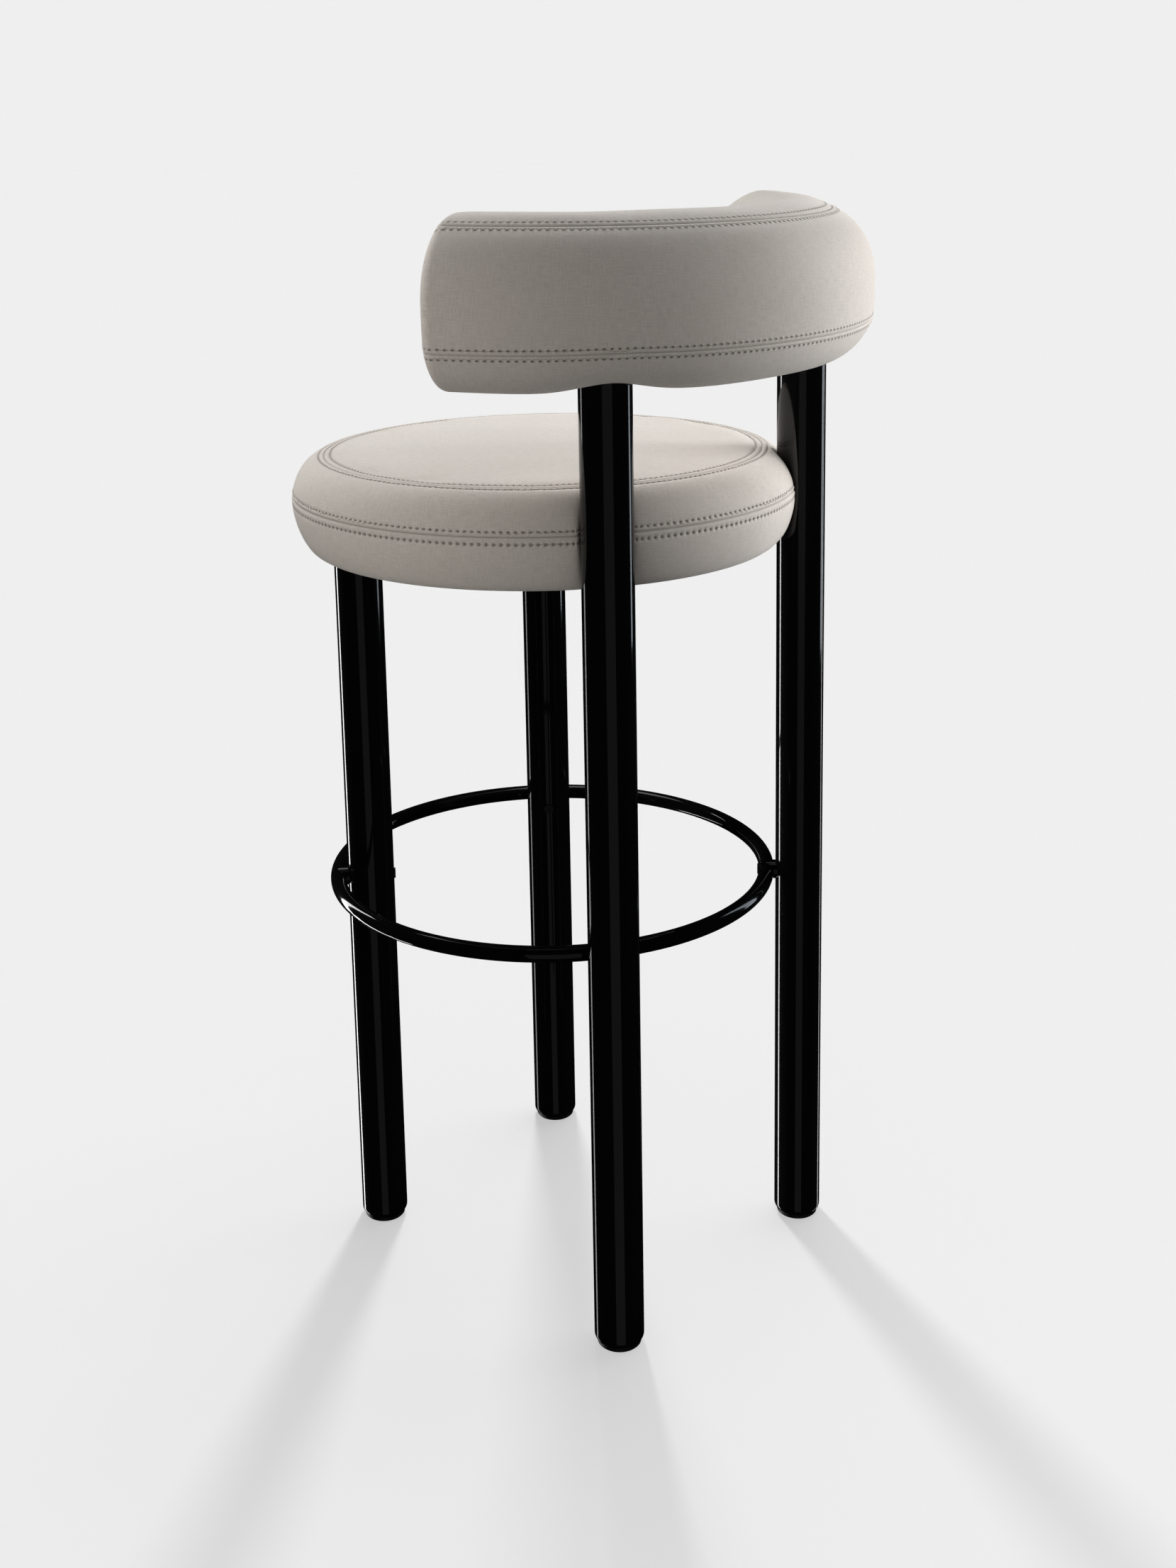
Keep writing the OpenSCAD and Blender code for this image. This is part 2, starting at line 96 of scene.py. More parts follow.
class Graph:
    """A material, with short names for the shader nodes that it is made of."""

    def __init__(self, name):
        self.mat = bpy.data.materials.new(name)
        self.mat.use_nodes = True
        self.tree = self.mat.node_tree
        self.shader = self.tree.nodes["Principled BSDF"]
        self.surface = self.tree.nodes["Material Output"].inputs[0]

    def put(self, socket, value):
        """Links the value to the socket if it is a socket too, and else sets it there."""
        if isinstance(value, bpy.types.NodeSocket):
            self.tree.links.new(value, socket)
        elif value is not None:
            socket.default_value = value

    def math(self, op, a, b=None, clamp=False):
        node = self.tree.nodes.new("ShaderNodeMath")
        node.operation = op
        node.use_clamp = clamp
        self.put(node.inputs[0], a)
        self.put(node.inputs[1], b)
        return node.outputs[0]

    def wave(self, place, length):
        return self.math("SINE", self.math("MULTIPLY", place, 2 * math.pi / length))

    def coord(self, scale=(1, 1, 1), uv=None):
        """The place on the object, or in the UV map of that name."""
        if uv:
            source = self.tree.nodes.new("ShaderNodeUVMap")
            source.uv_map = uv
            place = source.outputs[0]
        else:
            place = self.tree.nodes.new("ShaderNodeTexCoord").outputs["Object"]
        mapping = self.tree.nodes.new("ShaderNodeMapping")
        mapping.inputs["Scale"].default_value = scale
        self.tree.links.new(place, mapping.inputs["Vector"])
        return mapping.outputs[0]

    def noise(self, vec, scale, detail=3.0, rough=0.55, distort=0.0):
        node = self.tree.nodes.new("ShaderNodeTexNoise")
        self.put(node.inputs["Vector"], vec)
        self.put(node.inputs["Scale"], scale)
        self.put(node.inputs["Detail"], detail)
        self.put(node.inputs["Roughness"], rough)
        self.put(node.inputs["Distortion"], distort)
        return node.outputs["Fac"]

    def ramp(self, fac, low, high, start=0.0, end=1.0):
        """Goes from low to high while fac goes from start to end, and stays there."""
        node = self.tree.nodes.new("ShaderNodeMapRange")
        for socket, value in zip(node.inputs, (fac, start, end, low, high)):
            self.put(socket, value)
        node.clamp = True
        return node.outputs[0]

    def mix(self, fac, a, b):
        node = self.tree.nodes.new("ShaderNodeMix")
        node.data_type = "RGBA"
        self.put(node.inputs[0], fac)
        self.put(node.inputs[6], a)
        self.put(node.inputs[7], b)
        return node.outputs[2]

    def split(self, vec):
        node = self.tree.nodes.new("ShaderNodeSeparateXYZ")
        self.tree.links.new(vec, node.inputs[0])
        return node.outputs

    def bump(self, height, dist, strength=1.0, normal=None):
        node = self.tree.nodes.new("ShaderNodeBump")
        node.inputs["Strength"].default_value = strength
        node.inputs["Distance"].default_value = dist
        self.put(node.inputs["Height"], height)
        self.put(node.inputs["Normal"], normal)
        return node.outputs[0]

    def finish(self, color, rough, normal, **constants):
        sockets = self.shader.inputs
        self.put(sockets["Base Color"], color)
        self.put(sockets["Roughness"], rough)
        self.put(sockets["Normal"], normal)
        for name, value in constants.items():
            sockets[name.replace("_", " ")].default_value = value
        return self.mat

    def glow(self, brightness):
        """Replaces the usual shader by an even light, and returns the light's node."""
        self.tree.nodes.remove(self.shader)
        node = self.tree.nodes.new("ShaderNodeEmission")
        node.inputs[0].default_value = (1, 1, 1, 1)
        node.inputs[1].default_value = brightness
        self.tree.links.new(node.outputs[0], self.surface)
        return node


def rgb(r, g, b):
    """Linear colour from 0-255 display values."""
    shares = [c / 255 for c in (r, g, b)]
    return tuple(c / 12.92 if c <= 0.04045 else ((c + 0.055) / 1.055) ** 2.4 for c in shares) + (1.0,)


# ---- materials ----

VENEER = 1.8 * MM
COARSE_YARN = 1.6 * MM
YARN = 1.05 * MM
ROW = 5.0 * MM          # distance of a row of stitches from its seam in the seam's own UV map
STITCH = 5.9 * MM       # length of one stitch


def lacquer_material():
    g = Graph("black_lacquer")
    p = g.coord()
    peel = g.noise(p, 420, 2)
    broad = g.noise(p, 9, 4)
    dust = g.ramp(g.noise(p, 950, 2, 0.8), 0, 1, 0.68, 0.8)
    rough = g.math("ADD", g.ramp(broad, 0.05, 0.10, 0.3, 0.7), g.math("MULTIPLY", dust, 0.05))
    col = g.mix(dust, rgb(24, 24, 25), rgb(36, 36, 37))
    return g.finish(col, rough, g.bump(peel, 0.00004, 0.35), IOR=1.5)


def screw_material():
    g = Graph("black_screws")
    p = g.coord()
    worn = g.ramp(g.noise(p, 260, 4), 0, 1, 0.55, 0.75)
    col = g.mix(worn, rgb(17, 17, 18), rgb(52, 51, 50))
    rough = g.ramp(g.noise(p, 600), 0.22, 0.42)
    return g.finish(col, rough, g.bump(g.noise(p, 1500), 0.00005, 0.5), IOR=1.5)


def glide_material():
    g = Graph("glide_plastic")
    p = g.coord()
    col = g.mix(g.ramp(g.noise(p, 90), 0, 1, 0.35, 0.7), rgb(24, 24, 24), rgb(48, 47, 46))
    rough = g.ramp(g.noise(p, 300), 0.45, 0.65)
    return g.finish(col, rough, g.bump(g.noise(p, 2200, 3), 0.0001, 0.5))


def zinc_material():
    g = Graph("zinc_hardware")
    p = g.coord()
    spangle = g.noise(p, 160, 4, 0.6, 0.8)
    col = g.mix(g.ramp(spangle, 0, 1, 0.35, 0.65), rgb(150, 152, 156), rgb(196, 197, 199))
    rough = g.ramp(g.noise(p, 700), 0.28, 0.5)
    return g.finish(col, rough, g.bump(g.noise(p, 1800), 0.00006, 0.5), Metallic=1.0)


def ply_material():
    g = Graph("plywood")
    p = g.coord((6, 60, 300))
    rings = g.noise(p, 3, 6, 0.6, 1.5)
    plies = g.math("MULTIPLY", g.wave(g.split(g.coord())[2], 2 * VENEER), 0.18)
    tone = g.math("ADD", g.ramp(rings, 0.15, 0.85, 0.3, 0.7), plies, clamp=True)
    col = g.mix(tone, rgb(176, 138, 94), rgb(218, 188, 146))
    return g.finish(col, g.ramp(rings, 0.5, 0.72), g.bump(rings, 0.0002, 0.4))


def foam_material():
    g = Graph("foam")
    p = g.coord()
    cells = g.noise(p, 900, 3, 0.7)
    return g.finish(g.mix(cells, rgb(214, 200, 160), rgb(236, 226, 196)), 0.95, g.bump(cells, 0.0006, 0.7))


def base_cloth_material():
    g = Graph("base_cloth")
    p = g.coord()
    x, y = g.split(p)[:2]
    weave = g.math("MULTIPLY", g.wave(x, COARSE_YARN), g.wave(y, COARSE_YARN))
    fluff = g.noise(p, 240, 4, 0.7)
    col = g.mix(g.ramp(fluff, 0, 1, 0.3, 0.75), rgb(26, 26, 27), rgb(50, 50, 51))
    return g.finish(col, g.ramp(fluff, 0.8, 0.95), g.bump(weave, 0.00025, 0.6))


def fabric_material():
    g = Graph("upholstery_fabric")
    u, v = g.split(g.coord(uv="weave"))[:2]
    slub_u = g.noise(g.coord((90, 1500, 1), "weave"), 1, 3, 0.6)
    slub_v = g.noise(g.coord((1500, 90, 1), "weave"), 1, 3, 0.6)
    slub = g.math("MULTIPLY", g.math("ADD", slub_u, slub_v), 0.5)
    grain = g.noise(g.coord(), 1400, 2, 0.7)
    # plain weave: warp and weft take turns on top
    over = g.math("MULTIPLY", g.math("MULTIPLY", g.wave(u, YARN), g.wave(v, YARN)), 0.6)
    weave = g.math("ADD", over, g.math("MULTIPLY", slub, 1.4))
    blotch = g.noise(g.coord(), 14, 3, 0.5)
    col = g.mix(g.ramp(slub, 0, 1, 0.36, 0.64), rgb(203, 196, 189), rgb(231, 224, 217))
    col = g.mix(g.ramp(blotch, 0, 0.35, 0.35, 0.7), col, rgb(217, 209, 200))
    col = g.mix(g.ramp(grain, 0, 0.22, 0.45, 0.8), col, rgb(150, 144, 136))
    # seams: the line between two panels, and a row of needle holes on each side of it; the seam line, the
    # rows and the holes are darkened with painted shade
    along_seam, across = g.split(g.coord(uv="seam"))[:2]
    away = g.math("ABSOLUTE", across)
    line = g.ramp(away, 1, 0, 0.0002, 0.0009)
    part = g.math("SUBTRACT", g.math("FRACT", g.math("DIVIDE", along_seam, STITCH)), 0.5)
    along = g.math("MULTIPLY", part, STITCH)
    aside = g.math("SUBTRACT", away, ROW)
    along_2 = g.math("MULTIPLY", g.math("MULTIPLY", along, along), 0.55)
    far = g.math("SQRT", g.math("ADD", along_2, g.math("MULTIPLY", aside, aside)))
    hole = g.ramp(far, 1, 0, 0.0006, 0.00135)
    pull = g.ramp(far, 1, 0, 0.0, 0.0030)
    row = g.ramp(g.math("ABSOLUTE", aside), 1, 0, 0.0, 0.0007)
    groove = g.math("POWER", g.ramp(away, 1, 0, 0.0, 0.0024), 2.0)
    # painted shade in the seam's groove: the seam line is darkened
    col = g.mix(g.math("MULTIPLY", line, 0.42), col, rgb(104, 98, 90))
    # painted shade along each row of stitches, where the thread shades the cloth
    col = g.mix(g.math("MULTIPLY", row, 0.05), col, rgb(120, 112, 102))
    # painted shade in the needle holes: a dark spot at each hole, over its bumped dent
    col = g.mix(g.math("MULTIPLY", hole, 0.72), col, rgb(74, 67, 60))
    normal = g.bump(weave, 0.00016, 0.55)
    dent = g.math("ADD", g.math("MULTIPLY", hole, -1.0), g.math("MULTIPLY", pull, -0.8))
    normal = g.bump(dent, 0.0007, 0.8, normal)
    normal = g.bump(g.math("MULTIPLY", groove, -1.0), 0.0006, 0.5, normal)
    return g.finish(col, g.ramp(slub, 0.82, 0.95, 0.3, 0.7), normal,
                    Sheen_Weight=0.25, Sheen_Roughness=0.45, Specular_IOR_Level=0.18)


def thread_material():
    g = Graph("sewing_thread")
    p = g.coord()
    strands = g.noise(p, 2600, 2)
    col = g.mix(strands, rgb(150, 142, 131), rgb(186, 179, 168))
    return g.finish(col, g.ramp(strands, 0.6, 0.8), g.bump(strands, 0.0001, 0.6), Sheen_Weight=0.2)


MATS = {"black_lacquer": lacquer_material(), "black_screws": screw_material(),
        "glide_plastic": glide_material(), "zinc_hardware": zinc_material(), "plywood": ply_material(),
        "foam": foam_material(), "base_cloth": base_cloth_material(),
        "upholstery_fabric": fabric_material()}
THREAD = thread_material()
for part in frame["record"]["subparts"]:
    ob = NODES[part["node"]]
    for slot in ob.material_slots:
        slot.material = MATS[part["material_slot"]]

# ---- soft goods ----

# All lengths of the soft goods are in mm, and all their angles in degrees, until a mesh is made.

REAR_R = 227.5           # distance of a rear leg from the middle of the stool
REAR_AZ = 35.5           # its angle from straight back
FRONT_R = 168            # distance of a front leg from the middle of the stool
FRONT_AZ = 47            # its angle from straight ahead


def leg_place(side, out, azimuth, way):
    turn = math.radians(azimuth)
    return Vector((side * out * math.sin(turn), way * out * math.cos(turn)))


REAR = [leg_place(side, REAR_R, REAR_AZ, 1) for side in (-1, 1)]
FRONT = [leg_place(side, FRONT_R, FRONT_AZ, -1) for side in (-1, 1)]
SLACK = 1.6              # how much smaller than the pad the shape for the simulation is
REACH = 12.0             # how far inside the pad the search for the simulated skin starts


def side_distance(p, places):
    """Sideways distance of a point to the nearest of some places."""
    return min((Vector(p[:2]) - place).length for place in places)


def spow(v, e):
    """Power of the size of v, with the sign of v."""
    return np.sign(v) * np.abs(v) ** e


def push_out(P, centre, r, crisp=7.0, below=None):
    """Moves points sideways out of a round hole, with an edge that rounds off softly.
    With below, the hole ends at that height."""
    q = P[..., :2] - np.array(centre)
    d = np.maximum(np.linalg.norm(q, axis=-1), 1e-3)
    moved = r * (1 + (d / r) ** crisp) ** (1 / crisp)
    if below is not None:
        share = np.clip((below - P[..., 2]) / 3.0, 0, 1)
        moved = d + (moved - d) * share
    out = P.copy()
    out[..., :2] = np.array(centre) + q * (moved / d)[..., None]
    return out


def normals(P):
    """Outward normals of a grid closed in its first direction."""
    a = np.roll(P, -1, 0) - np.roll(P, 1, 0)
    b = np.empty_like(P)
    b[:, 1:-1] = P[:, 2:] - P[:, :-2]
    b[:, 0], b[:, -1] = P[:, 1] - P[:, 0], P[:, -1] - P[:, -2]
    n = np.cross(a, b)
    return n / np.maximum(np.linalg.norm(n, axis=-1, keepdims=True), 1e-9)


def seam_relief(v, row):
    """Height of the cover over its smooth shape at a distance v from a seam with stitches at row."""
    a = np.abs(v)
    groove = -0.9 * np.exp(-(a / 0.8) ** 2)
    ridge = 0.3 * np.exp(-((a - row * 0.5) / 1.2) ** 2)
    stitch_line = -0.25 * np.exp(-((a - row) / 1.1) ** 2)
    valley = -0.2 * np.exp(-(a / 9.0) ** 2)
    return groove + ridge + stitch_line + valley


def grid_faces(nu, nv):
    """Faces of a grid that is closed in its first direction."""
    out = []
    for i in range(nu):
        for j in range(nv - 1):
            a, b = i * nv + j, ((i + 1) % nu) * nv + j
            out.append((a, b, b + 1, a + 1))
    return out


def mesh_object(name, verts, faces, mat):
    me = bpy.data.meshes.new(name)
    me.from_pydata([tuple(v) for v in verts], [], faces)
    me.materials.append(mat)
    me.polygons.foreach_set("use_smooth", [True] * len(me.polygons))
    me.update()
    ob = bpy.data.objects.new(name, me)
    sc.collection.objects.link(ob)
    return ob


def set_uv(ob, name, uv, other=None, flat=None, period=0.0, axis=0):
    """UV map from one (u, v) per vertex; faces whose vertices are all marked flat take the other one.
    Faces that close a loop go on past the period along the given axis."""
    me = ob.data
    layer = me.uv_layers.new(name=name)
    idx = np.empty(len(me.loops), np.int32)
    start = np.empty(len(me.polygons), np.int32)
    total = np.empty(len(me.polygons), np.int32)
    me.loops.foreach_get("vertex_index", idx)
    me.polygons.foreach_get("loop_start", start)
    me.polygons.foreach_get("loop_total", total)
    out = np.asarray(uv, float)[idx]
    if flat is not None:
        face = np.minimum.reduceat(flat.astype(int)[idx], start) > 0
        out = np.where(np.repeat(face, total)[:, None], np.asarray(other, float)[idx], out)
    if period:
        top = np.repeat(np.maximum.reduceat(out[:, axis], start), total)
        out[:, axis] += np.where(top - out[:, axis] > period / 2, period, 0)
    layer.data.foreach_set("uv", out.astype(np.float32).ravel())


def run_of(line):
    """Distance along a polyline to each of its points."""
    return np.r_[0, np.cumsum(np.linalg.norm(np.diff(line, axis=0), axis=1))]


def fine_near(distance, elsewhere):
    """Spacing of the mesh lines, at a distance from the nearest seam."""
    if distance < 8.5:
        return 0.7
    return 1.6 if distance < 14 else elsewhere


def resample(line, step_of, anchors=()):
    """Points along a polyline, with a spacing that depends on the place, and one at each anchor.
    Returns the points, their distances along the line, and the line's own distances."""
    line = np.asarray(line, float)
    s = run_of(line)
    at = [0.0]
    pos = 0.0
    while pos < s[-1]:
        nxt = min(pos + step_of(pos), s[-1])
        for a in anchors:
            if pos < a - 1e-6 < nxt:
                nxt = a
        pos = nxt
        at.append(pos)
    at = np.array(at)
    if len(at) > 2 and at[-1] - at[-2] < 0.2:
        at = np.delete(at, -2)
    return np.c_[np.interp(at, s, line[:, 0]), np.interp(at, s, line[:, 1])], at, s


VOXEL = 6 * MM
PRESSURE = 4.0
FRAMES = 20
MOST_LIFT = 4.0 * MM     # how far the simulation may move a point


def coordinates(mesh):
    out = np.empty(len(mesh.vertices) * 3)
    mesh.vertices.foreach_get("co", out)
    return out.reshape(-1, 3)


def puffed(name, P, held):
    """How firmly a point is held is a function of its place."""
    nu, nv = P.shape[:2]
    faces = grid_faces(nu, nv)
    faces.append(tuple(i * nv for i in range(nu)))
    faces.append(tuple(i * nv + nv - 1 for i in reversed(range(nu))))
    ob = mesh_object(name, P.reshape(-1, 3) * MM, faces, MATS["upholstery_fabric"])
    remesh = ob.modifiers.new("voxels", "REMESH")
    remesh.mode = "VOXEL"
    remesh.voxel_size = VOXEL
    with bpy.context.temp_override(object=ob, active_object=ob, selected_objects=[ob]):
        bpy.ops.object.modifier_apply(modifier="voxels")
    rest = coordinates(ob.data)
    group = ob.vertex_groups.new(name="held")
    for i, place in enumerate(rest):
        weight = held(place / MM)
        if weight > 0:
            group.add([i], weight, "REPLACE")
    cloth = ob.modifiers.new("cloth", "CLOTH")
    cloth.settings.quality = 5
    cloth.settings.mass = 0.25
    cloth.settings.tension_stiffness = 20
    cloth.settings.compression_stiffness = 20
    cloth.settings.bending_stiffness = 3
    cloth.settings.use_pressure = True
    cloth.settings.uniform_pressure_force = PRESSURE
    cloth.settings.effector_weights.gravity = 0
    cloth.settings.vertex_group_mass = "held"
    cloth.point_cache.frame_start = 1
    cloth.point_cache.frame_end = FRAMES
    for f in range(1, FRAMES + 1):
        sc.frame_set(f)
    swollen = ob.evaluated_get(bpy.context.evaluated_depsgraph_get()).to_mesh()
    move = coordinates(swollen) - rest
    size = np.linalg.norm(move, axis=1, keepdims=True)
    skin = rest + move * np.minimum(1, MOST_LIFT / np.maximum(size, 1e-9))
    tree = BVHTree.FromPolygons([tuple(p) for p in skin], [tuple(q.vertices) for q in swollen.polygons])
    sc.frame_set(1)
    bpy.data.objects.remove(ob)
    return tree


def swell(P, N, tree):
    """Height of the simulated skin over each smooth point, compared with its height over most points."""
    if tree is None:
        return np.zeros(P.shape[:2])
    out = np.zeros(P.shape[0] * P.shape[1])
    for i, (place, normal) in enumerate(zip(P.reshape(-1, 3), N.reshape(-1, 3))):
        n = Vector(normal)
        hit = tree.ray_cast(Vector(place * MM) - n * REACH * MM, n, 2.5 * REACH * MM)
        if hit[0] is not None:
            out[i] = min(max(hit[3] / MM - REACH, -2.0), 4.0)
    return np.clip(out - np.median(out), -1.5, 1.6).reshape(P.shape[:2])


def soften(a, rounds):
    """Smooths values on a grid that is closed in its first direction."""
    for _ in range(rounds):
        b = a.copy()
        b[:, 1:-1] = (a[:, 2:] + a[:, :-2] + 2 * a[:, 1:-1]) / 4
        a = (np.roll(b, 1, 0) + np.roll(b, -1, 0) + 2 * b) / 4
    return a


# ---- seat pad ----

SEAT_R = 223.5
WIDE_Z = 698.0           # level of the pad's widest line
LOW_SEAM_Z = 704.0
SEAM_R = 194.0           # radius of the upper seam
SEAM_Z = 738.0
LOW_Z = 656.0            # underside of the pad
TOP_RISE = 5.0           # from the upper seam to the middle
LOW_BULGE = 20.0         # how far the side goes in below and above its widest line
UP_BULGE = 29.5
RIM_R = 190.0            # where the flat underside starts
LIP_R = 182.0            # inner edge of the cloth that is turned under the board
BOARD_R = 191.7          # room for the board in the underside
BOARD_TOP = 680.6
PLATE_Z = 661.0          # the front legs go into the pad up to here
NOTCH_REAR = 22.3        # radii of the room for the legs
NOTCH_FRONT = 21.9
SEAT_COLUMNS = 600
SEAT_STITCHES = round(2 * math.pi * SEAT_R * MM / STITCH)


def seat_line(inset=0.0):
    """Outline of half the seat pad's section, from the turned-under edge to the middle of the top."""
    t = np.radians(np.linspace(0, 90, 46))
    low = np.c_[SEAT_R - LOW_BULGE + (LOW_BULGE - inset) * np.sin(t) ** (2 / 1.7),
                WIDE_Z - (WIDE_Z - LOW_Z - inset) * np.cos(t) ** (2 / 1.7)]
    up = np.c_[SEAT_R - UP_BULGE + (UP_BULGE - inset) * np.cos(t) ** (2 / 1.95),
               WIDE_Z + (SEAM_Z - WIDE_Z - inset) * np.sin(t) ** (2 / 1.95)]
    x = np.linspace(SEAM_R, 0.5, 60)
    crown = np.c_[x, SEAM_Z - inset + TOP_RISE * (1 - (x / SEAM_R) ** 2)]
    edge = [[LIP_R, LOW_Z + 0.4 + inset], [RIM_R, LOW_Z + inset]]
    return np.vstack([edge, low, up[1:], crown[1:]])


def turned(prof, columns):
    """Points of a profile turned round the middle, and the angle of each column."""
    angle = np.linspace(0, 2 * np.pi, columns, endpoint=False)
    x = np.outer(np.sin(angle), prof[:, 0])
    y = np.outer(np.cos(angle), prof[:, 0])
    return np.stack([x, y, np.broadcast_to(prof[:, 1], x.shape)], -1), angle


def notched(P, rear_room):
    for c in FRONT:
        P = push_out(P, c, NOTCH_FRONT, 9.0, below=PLATE_Z)
    for c in REAR:
        P = push_out(P, c, rear_room)
    return P


def seat_held(p):
    """The seat pad's underside is fixed to its board, and the pad is tight round the rear legs."""
    if p[2] < LOW_Z + 4:
        return 1.0
    return 0.8 if side_distance(p, REAR) < 27 else 0.0


def make_seat():
    line = seat_line()
    run = run_of(line)
    side = (line[:, 0] > 205) & (line[:, 1] < 730)
    s_low = np.interp(LOW_SEAM_Z, line[side, 1], run[side])
    s_up = run[np.argmin(np.abs(line[:, 0] - SEAM_R) + np.abs(line[:, 1] - SEAM_Z))]

    def spacing(s):
        return fine_near(min(abs(s - s_low), abs(s - s_up)), min(3.0 + max(0, s - s_up - 14) * 0.05, 9.0))

    prof, at, _ = resample(line, spacing, (s_low, s_up))
    P, angle = turned(prof, SEAT_COLUMNS)
    small, _ = turned(resample(seat_line(SLACK), lambda s: 5.0)[0], 160)
    tree = puffed("seat_sim", notched(small, NOTCH_REAR), seat_held)
    P = notched(P, NOTCH_REAR)
    N = -normals(P)
    N[:, -1] = (0, 0, 1)
    N[:, 0] = (0, 0, -1)
    between = (at > s_low) & (at < s_up)
    d_low = np.abs(at - s_low)
    d_up = np.abs(at - s_up)
    row = np.where(d_low < d_up, np.where(between, 4.0, 6.0), np.where(between, 5.0, 6.0))
    d = np.minimum(d_low, d_up)
    lift = soften(swell(P, N, tree), 6)
    middle = prof[:, 0] < 30
    lift[:, middle] = lift[:, middle].mean()
    # soft, uneven filling, held down by the seams
    x, y = P[..., 0], P[..., 1]
    lift += 0.35 * np.sin(x / 41 + 1.3) * np.sin(y / 37 + 0.4) + 0.25 * np.sin(x / 17 + y / 23)
    tight = 1 - np.exp(-(d / 12.0) ** 2)
    lift *= tight[None, :] * np.clip((P[..., 2] - LOW_Z - 1) / 8, 0, 1)
    lift[:, -1] = lift[:, -1].mean()
    P = P + N * (lift + seam_relief(d, row)[None, :])[..., None]
    # under the seat the pad is hollow round its board
    hollow = [[LIP_R, 658.2], [BOARD_R, 658.6]] + [[r, BOARD_TOP] for r in (BOARD_R, 150, 60, 1)]
    inner = notched(turned(np.array(hollow), SEAT_COLUMNS)[0], 24.5)
    nu, nv, ni = SEAT_COLUMNS, P.shape[1], inner.shape[1]
    poles = [[0, 0, P[:, -1, 2].mean()], [0, 0, BOARD_TOP]]
    verts = np.vstack([P.reshape(-1, 3), inner.reshape(-1, 3), poles])
    verts[:, 1] += SEAT_Y / MM
    first_inner = nu * nv
    top_pole = nu * (nv + ni)
    faces = [f[::-1] for f in grid_faces(nu, nv)]
    faces += [tuple(first_inner + i for i in f) for f in grid_faces(nu, ni)]
    for i in range(nu):
        k = (i + 1) % nu
        faces.append((i * nv, k * nv, first_inner + k * ni, first_inner + i * ni))
        faces.append((k * nv + nv - 1, i * nv + nv - 1, top_pole))
        faces.append((first_inner + i * ni + ni - 1, first_inner + k * ni + ni - 1, top_pole + 1))
    ob = mesh_object("seat_cushion", verts * MM, faces, MATS["upholstery_fabric"])
    # the cloth runs straight across the top and the underside, and round the side band
    grid = np.broadcast_to
    shape = (nu, nv)
    wrapped = np.c_[grid(angle[:, None] * SEAT_R, shape).ravel(), grid(at[None, :], shape).ravel()] * MM
    straight = turned(prof, nu)[0][..., :2].reshape(-1, 2) * MM
    under = inner[..., :2].reshape(-1, 2) * MM
    tail = np.zeros((2, 2))
    flat = np.r_[grid((at >= s_up)[None, :], shape).ravel(), np.ones(nu * ni + 2, bool)]
    set_uv(ob, "weave", np.vstack([wrapped, under, tail]), np.vstack([straight, under, tail]), flat,
           2 * math.pi * SEAT_R * MM)
    # the two seams have the same number of stitches, so that one pattern closes round both
    su = grid((angle / (2 * np.pi) * SEAT_STITCHES * STITCH)[:, None], shape)
    sv = grid((np.where(between, -1, 1) * d * ROW / row)[None, :], shape)
    far = np.full((nu * ni + 2, 2), 0.05)
    set_uv(ob, "seam", np.vstack([np.c_[su.ravel(), sv.ravel()], far]), period=SEAT_STITCHES * STITCH)
    loops = []
    for s0, rows in ((s_low, (4.0, -6.0)), (s_up, (6.0, -5.0))):
        on_seam = np.arange(nu) * nv + int(np.argmin(np.abs(at - s0)))
        loops.append((verts[on_seam], SEAT_STITCHES, rows))
    return ob, loops


SIDES = 6
LONGEST = 9.0            # a longer gap between two needle holes gets no stitch
# share of the stitch's way, height over the cloth and half width
ARCH = ((0.12, -0.3, 0.2), (0.3, 0.1, 0.32), (0.5, 0.18, 0.34), (0.7, 0.1, 0.32), (0.88, -0.3, 0.2))


def add_stitch(verts, faces, start, way, up):
    side = np.cross(way, up)
    side /= max(np.linalg.norm(side), 1e-6)
    base = len(verts)
    for share, height, half in ARCH:
        middle = start + way * share + up * height
        for k in range(SIDES):
            q = 2 * math.pi * k / SIDES
            verts.append(middle + side * half * math.cos(q) + up * half * 0.8 * math.sin(q))
    for r in range(len(ARCH) - 1):
        for k in range(SIDES):
            i, j = base + r * SIDES + k, base + r * SIDES + (k + 1) % SIDES
            faces.append((i, j, j + SIDES, i + SIDES))
    faces.append(tuple(base + k for k in reversed(range(SIDES))))
    faces.append(tuple(base + (len(ARCH) - 1) * SIDES + k for k in range(SIDES)))


def stitched(name, ob, loops):
    """Sewing thread: an arched stitch between every two needle holes, in rows beside closed seam lines.
    Each loop is a seam line, its number of stitches, and the rows' distances from it."""
    me = ob.data
    tree = BVHTree.FromPolygons([v.co for v in me.vertices], [tuple(p.vertices) for p in me.polygons])
    verts = []
    faces = []
    for line, count, rows in loops:
        closed = np.vstack([line, line[:1]])
        s = run_of(closed)
        u = (np.arange(count + 1) + 0.5) / count * s[-1]
        u = np.where(u > s[-1], u - s[-1], u)

        def point(q):
            return np.stack([np.interp(q % s[-1], s, closed[:, k]) for k in range(3)], -1)

        spots = point(u)
        ways = point(u + 1.5) - point(u - 1.5)
        for row in rows:
            path = []
            distances = np.interp(u % s[-1], s[:-1], np.broadcast_to(row, len(line)))
            for spot, way, distance in zip(spots, ways, distances):
                place = Vector(spot * MM)
                side = Vector(way).normalized().cross(tree.find_nearest(place)[1])
                hole = tree.find_nearest(place + side * distance * MM)
                path.append((np.array(hole[0]) / MM, np.array(hole[1])))
            for (start, up), (end, _) in zip(path[:-1], path[1:]):
                if np.linalg.norm(end - start) <= LONGEST:
                    add_stitch(verts, faces, start, end - start, up)
    return mesh_object(name, np.array(verts) * MM, faces, THREAD)


seat, seat_loops = make_seat()
seat_thread = stitched("seat_stitching", seat, seat_loops)

# ---- backrest pad ----

